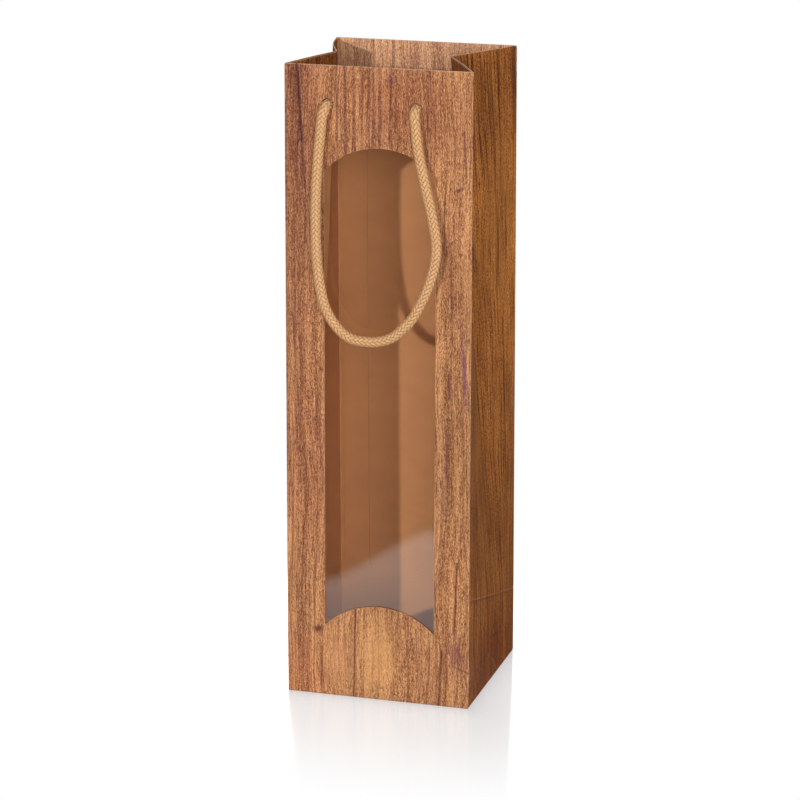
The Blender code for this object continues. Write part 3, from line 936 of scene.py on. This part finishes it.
def fray(line, radius, seed):
    """Loose fibres that stand out of a cut end, as thin three-sided spikes."""
    chance = np.random.default_rng(seed)
    end, way = line[0], unit(line[0] - line[3])
    across = unit(np.cross(way, (0.2, 0.9, 0.3)))
    over = np.cross(way, across)
    points, faces = [], []
    for _ in range(FRAY_FIBRES):
        turn, out = chance.uniform(0, 2 * math.pi), radius * math.sqrt(chance.uniform(0, 0.9))
        side = across * math.cos(turn) + over * math.sin(turn)
        reach, lean = chance.uniform(0.0015, 0.0038), chance.uniform(0.1, 0.7)
        start = end + side * out - way * FRAY_ROOT
        tip = start + way * (reach + FRAY_ROOT) + side * reach * lean * out / radius
        bend = (start + tip) / 2 + side * 0.0003
        base = len(points)
        for middle, size in ((start, FRAY_THICK), (bend, FRAY_THICK * 0.8)):
            for k in range(3):
                a = 2 * math.pi * k / 3
                points.append(middle + (across * math.cos(a) + over * math.sin(a)) * size)
        points.append(tip)
        faces += [(base + 2, base + 1, base)]
        for k in range(3):
            m = (k + 1) % 3
            faces += [(base + k, base + m, base + 3 + m, base + 3 + k), (base + 3 + k, base + 3 + m, base + 6)]
    return np.array(points), faces


def make_rope(face, material):
    """One handle's cord in three pieces that meet ring to ring: its loop, and the knotted end at each hole."""
    title = FACE_NAMES[face]
    before, loop, after = rope_points(face)
    whole = before + loop + after
    line = evenly(smooth(whole), CORD_STEP, (before[-3], after[2]))
    ends = [line_index(line, before[-5]), line_index(line, after[4])]
    knot_reach = [line_index(line, before[-6]), line_index(line, after[5])]
    count = len(line)
    at = np.arange(count)
    radii = np.full(count, CORD / 2)
    tail = round(TAIL_FREE / CORD_STEP)
    for inner, outer in ((tail, knot_reach[0]), (count - 1 - tail, knot_reach[1])):
        low, high = min(inner, outer), max(inner, outer)
        ease = np.clip(np.minimum(at - low, high - at) / EASE_STEPS, 0, 1)
        ease = ease * ease * (3 - 2 * ease)
        radii = radii - (CORD / 2 - KNOT_CORD) * ease
    across, over = carried_frames(line)
    points, notes = braid(line, radii, across, over)
    first, last = ("left", "right") if line[0][0] < 0 else ("right", "left")
    pieces = [
        (f"{title}_rope_end_{first}", 0, ends[0], f"{title}_cord_end_{first}"),
        (f"{title}_rope_loop", ends[0], ends[1], f"{title}_handle_cord"),
        (f"{title}_rope_end_{last}", ends[1], count - 1, f"{title}_cord_end_{last}")]
    for name, low, high, node in pieces:
        obj = tube_object(name, points[low:high + 1], notes[low:high + 1])
        cover(obj, material)
        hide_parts(node)
        if node.endswith("handle_cord"):
            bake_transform(obj)
        else:
            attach(obj, "root")
            tip = line if low == 0 else line[::-1]
            fibres, faces = fray(tip, CORD / 2, 11 * (face + 3) + low % 7)
            ends_piece = add_mesh(f"{name}_fray", fibres, faces)
            cover(ends_piece, material)
            note(ends_piece, "strand", [(k * 0.37, 0.0, 0.8) for k in range(len(fibres))])
            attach(ends_piece, "root")


def make_camera():
    data = bpy.data.cameras.new("camera")
    data.lens = CAMERA_LENS
    data.sensor_width = 36
    data.clip_start, data.clip_end = 0.05, 50
    camera = add_object("camera", data)
    level = math.cos(CAMERA_ELEVATION)
    away = Vector((math.sin(CAMERA_AZIMUTH) * level, -math.cos(CAMERA_AZIMUTH) * level, math.sin(CAMERA_ELEVATION)))
    camera.location = CAMERA_TARGET + away * CAMERA_DISTANCE
    camera.rotation_euler = (-away).to_track_quat("-Z", "Y").to_euler()
    bpy.context.scene.camera = camera


def add_light(name, azimuth, elevation, distance, aim, size, power, colour):
    """A round soft light, aimed at a height on the bag's middle line. Azimuth 0 is in front of the bag."""
    data = bpy.data.lights.new(name, "AREA")
    data.shape, data.size, data.energy, data.color = "DISK", size, power, colour
    light = add_object(name, data)
    turn, rise = math.radians(azimuth), math.radians(elevation)
    place = Vector((distance * math.sin(turn) * math.cos(rise), -distance * math.cos(turn) * math.cos(rise),
                    LIGHT_CENTRE + distance * math.sin(rise)))
    light.location = place
    light.rotation_euler = (Vector((0, 0, aim)) - place).to_track_quat("-Z", "Y").to_euler()


def make_surround():
    """A white backdrop behind the bag, a dimmer room in front of it, and an even fill."""
    world = bpy.data.worlds.new("surround")
    world.use_nodes = True
    bpy.context.scene.world = world
    tree = world.node_tree
    tree.nodes.clear()
    rays = put(tree, "LightPath").outputs
    way = put(tree, "SeparateXYZ", {0: put(tree, "TexCoord").outputs["Generated"]}).outputs
    backdrop = ramp(tree, way[1], -0.1, 0.2, 0.04, 1.0)
    fill = ramp(tree, way[0], -0.2, 1.0, 0.18, 0.36)
    strength = calc(tree, "MULTIPLY_ADD", rays["Is Glossy Ray"], calc(tree, "SUBTRACT", backdrop, fill), fill)
    strength = calc(tree, "MAXIMUM", strength, rays["Is Camera Ray"])
    tint = blend_colours(tree, rays["Is Diffuse Ray"], (1, 1, 1, 1), (1.0, 0.95, 0.88, 1))
    back = put(tree, "Background", {"Color": tint, "Strength": strength})
    out = put(tree, "OutputWorld")
    tree.links.new(back.outputs[0], out.inputs["Surface"])


def make_floor():
    """A white floor that throws back an even light, with a painted contact shadow round the bag's foot, and mirrors
    the foot of the bag faintly.
    """
    corners = [(x * FLOOR_REACH, y * FLOOR_REACH, 0) for x, y in ((-1, -1), (1, -1), (1, 1), (-1, 1))]
    floor = add_mesh("floor", corners, [(0, 1, 2, 3)])
    material = bpy.data.materials.new("white_floor")
    material.use_nodes = True
    tree = material.node_tree
    tree.nodes.clear()
    place = place_in_millimetres(tree, False)
    beyond = vector_calc(tree, "SUBTRACT", vector_calc(tree, "ABSOLUTE", place),
                         (HALF_WIDTH * 1000, HALF_DEPTH * 1000, 0.0))
    distance = vector_calc(tree, "LENGTH", vector_calc(tree, "MAXIMUM", beyond, (0.0, 0.0, 0.0)), out=1)
    near = ramp(tree, distance, 150.0, 0.0)
    # Painted contact shadow: the floor's glow is darker close round the bag's foot
    contact_shadow = calc(tree, "POWER", 0.86, distance)
    white = calc(tree, "MULTIPLY_ADD", contact_shadow, -0.22, 1.0)
    rays = put(tree, "LightPath").outputs
    strength = calc(tree, "MULTIPLY", white, ramp(tree, rays["Is Diffuse Ray"], 0.0, 1.0, 1.0, 0.25))
    spot = put(tree, "SeparateXYZ", {0: place}).outputs
    edge = calc(tree, "ADD", calc(tree, "MULTIPLY_ADD", spot[1], CARD_SLOPE, CARD_PLACE), spot[0])
    card = ramp(tree, edge, -8.0, 8.0, 0.03, 1.0)
    mirrored = calc(tree, "MULTIPLY_ADD", rays["Is Glossy Ray"], calc(tree, "SUBTRACT", card, 1.0), 1.0)
    strength = calc(tree, "MULTIPLY", strength, mirrored)
    behind = ramp(tree, spot[1], 0.0, 60.0, 0.0, 0.9)
    flagged = calc(tree, "SUBTRACT", 1.0, calc(tree, "MULTIPLY", rays["Is Glossy Ray"], behind))
    strength = calc(tree, "MULTIPLY", strength, flagged)
    glow = put(tree, "Emission", {"Color": (1, 1, 1, 1), "Strength": strength})
    gloss = put(tree, "BsdfGlossy", {"Color": (1, 1, 1, 1), "Roughness": 0.14})
    mixed = put(tree, "MixShader", {0: calc(tree, "MULTIPLY", near, 0.24), 1: glow.outputs[0], 2: gloss.outputs[0]})
    out = put(tree, "OutputMaterial")
    tree.links.new(mixed.outputs[0], out.inputs["Surface"])
    cover(floor, material)


def make_studio():
    """A low key light just left of the front, softer ones all round, the surround and the floor."""
    for name, light in LIGHTS.items():
        add_light(name, *light)
    make_surround()
    make_floor()
    view = bpy.context.scene.view_settings
    view.view_transform, view.look, view.exposure, view.gamma = "Standard", "None", 0.0, 1.0


# Colours of the print, of what lies on it and of the light and shade painted on it, in millimetres from the middle
# of the front and up from the foot
# Pale lines along the folded edges and the sides' slanting fold: partly worn paper, partly a painted highlight on
# the rounded folds
EDGE_WEAR_AND_HIGHLIGHT = (214, 176, 146)
PLUM_INK = (92, 44, 62)

front_marks = [
    (PLUM_INK, (-30.5, 262), (1.4, 22), 0.01, 0.6, 0.40),
    (PLUM_INK, (-47.0, 216), (1.0, 34), 0.00, 0.5, 0.55),
    (PLUM_INK, (6.5, 349), (5.0, 5.5), 0.0, 0.8, 0.45),
    ((86, 40, 50), (45.0, 291.5), (2.6, 2.2), 0.5, 0.6, 0.85),
    ((104, 56, 92), (48.8, 191), (1.9, 30), -0.06, 0.5, 0.60),
    ((82, 38, 40), (40.2, 165), (2.4, 1.0), 0.0, 0.5, 0.65),
    ((78, 34, 46), (-34.2, 38.6), (4.2, 3.8), 0.5, 0.8, 0.9),
    ((98, 50, 66), (45.0, 32), (6.0, 15), 0.0, 0.9, 0.55),
    (PLUM_INK, (38, 130), (4.0, 30), 0.0, 1.2, 0.25),
    ((70, 34, 40), (2.5, 7.0), (1.6, 0.9), 0.0, 0.4, 0.75),
    ((222, 166, 108), (-1.0, 26), (18, 36), 0.0, 0.8, 0.46),
    ((216, 156, 108), (-22.0, 22), (16, 34), 0.0, 0.8, 0.34),
]
front_tones = [
    ((224, 212, 224), (-44, 330), (24, 190), 0.0, 0.5, 1.0),
    ((238, 224, 228), (10, 335), (44, 32), 0.0, 0.6, 1.0),
    ((240, 230, 236), (-43, 135), (34, 90), 0.0, 0.4, 1.0),
    ((234, 234, 233), (43, 142), (34, 66), 0.0, 0.4, 1.0),
    ((244, 244, 244), (43, 215), (34, 70), 0.0, 0.4, 1.0),
    ((250, 236, 238), (-46, 14), (24, 34), 0.0, 0.4, 1.0),
]
TOP_STREAKS = {  # places across the front's top, and how strong a streak is there
    -23.2: 0.45, -18.5: 0.70, -13.6: 0.50, -9.5: 0.40, -5.1: 0.50, -2.6: 0.55, 0.7: 0.50, 6.8: 0.35, 27.5: 0.3,
}
# The first three lines are pale worn edges with a painted highlight, along the top edge and both corners
front_lines = [
    (EDGE_WEAR_AND_HIGHLIGHT, (-52.5, 355), (52.5, 355), 0.55, 0.3, 0.85, 0.2),
    (EDGE_WEAR_AND_HIGHLIGHT, (-52.4, 0), (-52.4, 355), 0.5, 0.8, 0.30, 0.2),
    (EDGE_WEAR_AND_HIGHLIGHT, (52.4, 0), (52.4, 355), 0.5, 0.7, 0.40, 0.2),
    ((56, 26, 36), (-45.3, 356), (-42.6, 314), 1.4, 0.2, 1.0, 0.0),
    ((66, 32, 40), (-42.6, 314), (-41.2, 288), 1.1, 0.4, 0.85, 0.0),
    ((88, 42, 46), (47.6, 323), (48.8, 299), 1.0, 0.3, 0.85, -0.2),
    ((88, 40, 50), (40.2, 190), (40.2, 177), 1.2, 0.3, 0.90, 0.0),
    ((96, 46, 40), (-13.6, 0), (-12.6, 58), 1.1, 0.35, 0.95, -0.3),
    ((84, 38, 34), (35.6, 0), (37.1, 33), 1.1, 0.3, 1.0, -0.3),
    ((84, 38, 34), (44.3, 43), (45.4, 84), 1.1, 0.3, 1.0, -0.3),
    ((104, 52, 40), (-32.6, 5), (-31.9, 28), 0.9, 0.4, 0.85, -0.2),
    # Painted crease shade where the front's right edge bends out near the foot
    ((104, 54, 40), (44.4, 24.0), (52.4, 20.8), 0.8, 0.3, 0.85, -0.8),
]
front_lines += [
    ((84, 40, 48), (x, 358), (x + 0.4, 300), 1.4, 0.55, share * 1.4, 0.0) for x, share in TOP_STREAKS.items()]
# A painted lighter patch on the back half of each side, halfway up
side_painted_light = [
    ((214, 150, 80), (84, 252), (34, 80), 0.0, 0.6, 0.10),
]
# Painted shade on the sides, multiplied into the print: darker at the foot and low down, and towards the top
side_painted_shade = [
    ((206, 174, 104), (50, 0), (90, 64), 0.0, 0.3, 1.0),
    ((244, 240, 230), (50, 60), (90, 120), 0.0, 0.3, 1.0),
    ((226, 224, 222), (40, 355), (110, 100), 0.0, 0.3, 1.0),
]
# Painted light and shade on the sides' creases: a pale line along the slanting fold (worn paper with a painted
# highlight) with painted shade just under it, painted shade along the middle crease and the creases at the foot,
# and a painted highlight on one foot crease; then pale worn edges with a painted highlight along the top and both
# corners
side_painted_creases = [
    (EDGE_WEAR_AND_HIGHLIGHT, (0, 63), (100, 38), 0.50, 0.90, 0.32, 0.4),
    ((66, 28, 10), (0, 61.8), (100, 36.8), 1.5, 0.6, 0.35, 0.0),
    ((80, 38, 18), (50, 68), (50, 355), 0.9, 0.6, 0.45, 0.0),
    ((64, 28, 12), (47, 68), (54, 30), 0.9, 0.4, 0.65, -0.8),
    ((64, 28, 12), (54, 30), (72, 11), 0.9, 0.5, 0.55, -0.8),
    ((64, 28, 12), (12, 55), (55, 15), 0.9, 0.7, 0.35, -0.6),
    (EDGE_WEAR_AND_HIGHLIGHT, (51.5, 12), (60, 3), 0.5, 0.5, 0.24, 0.3),
    (EDGE_WEAR_AND_HIGHLIGHT, (0, 355), (100, 355), 0.30, 0.3, 0.80, 0.2),
    (EDGE_WEAR_AND_HIGHLIGHT, (0.2, 0), (0.2, 355), 0.5, 0.8, 0.30, 0.2),
    (EDGE_WEAR_AND_HIGHLIGHT, (99.8, 0), (99.8, 355), 0.5, 0.7, 0.40, 0.2),
]

make_camera()
cord_material = make_cord_material()
for face in (FRONT, BACK):
    make_rope(face, cord_material)

kraft = make_paper("kraft_inside", (204, 146, 98), 0.5)
kraft_seam = make_paper("kraft_seam", (204, 146, 98), 0.5, on_print=False)
kraft_loose = make_paper("kraft_tab", (172, 116, 76), 0.5, on_print=False)
cut_edge = make_paper("cut_edge", (222, 190, 158), 0.4)
board = make_paper("grey_board", (186, 164, 138), 0.6, 0.9, on_print=False)
front_print = make_print("front_print", (218, 160, 110), (120, 72, 46), (88, 44, 42), 1.3,
                         front_marks, front_lines, front_tones)
back_print = make_print("back_print", (252, 202, 158), (162, 110, 80), (112, 62, 54), 23.7,
                        [(PLUM_INK, (20, 90), (1.2, 40), 0.02, 0.5, 0.5)], front_lines[:3])
side_print = {
    side: make_print(f"{SIDE_NAMES[side]}_print", (210, 136, 67), (124, 68, 31), (76, 36, 18), seed,
                     side_painted_light, side_painted_creases, side_painted_shade, streaks=1.9, mottle=1.6)
    for side, seed in ((RIGHT, 51.1), (LEFT, 77.7))}
foot_print = make_print("foot_print", (200, 146, 98), (128, 78, 52), (92, 48, 46), 91.0, on_print=False)

for face, obj in make_walls().items():
    title = FACE_NAMES[face]
    sides = [polygon.material_index for polygon in obj.data.polygons]
    obj.data.materials.clear()
    cover(obj, front_print if face == FRONT else back_print, kraft, cut_edge)
    obj.data.polygons.foreach_set("material_index", sides)
    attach(obj, "root")
    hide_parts(f"{title}_panel", f"{title}_hem")

for side in (LEFT, RIGHT):
    name = SIDE_NAMES[side]
    base = make_side_base(side)
    cover(base, side_print[side], kraft, cut_edge)
    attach(base, "root")
    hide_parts(f"{name}_gusset_base")
    for face in (FRONT, BACK):
        half = make_gusset_half(side, face)
        cover(half, side_print[side], kraft, cut_edge)
        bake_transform(half)
        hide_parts(f"{name}_gusset_{FACE_NAMES[face]}", f"{name}_gusset_{FACE_NAMES[face]}_hem")

film = make_window_sheet()
cover(film, make_film_material())
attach(film, "root")
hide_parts("window_film")

kept_nodes = {
    "base_card": board, "front_top_card": board, "back_top_card": board, "side_seam_tab": kraft_seam,
    "bottom_flap_left": kraft_loose, "bottom_flap_right": kraft_loose,
    "bottom_flap_front": foot_print, "bottom_flap_back": foot_print,
}
for name, material in kept_nodes.items():
    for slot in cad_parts[name].material_slots:
        slot.material = material

make_studio()
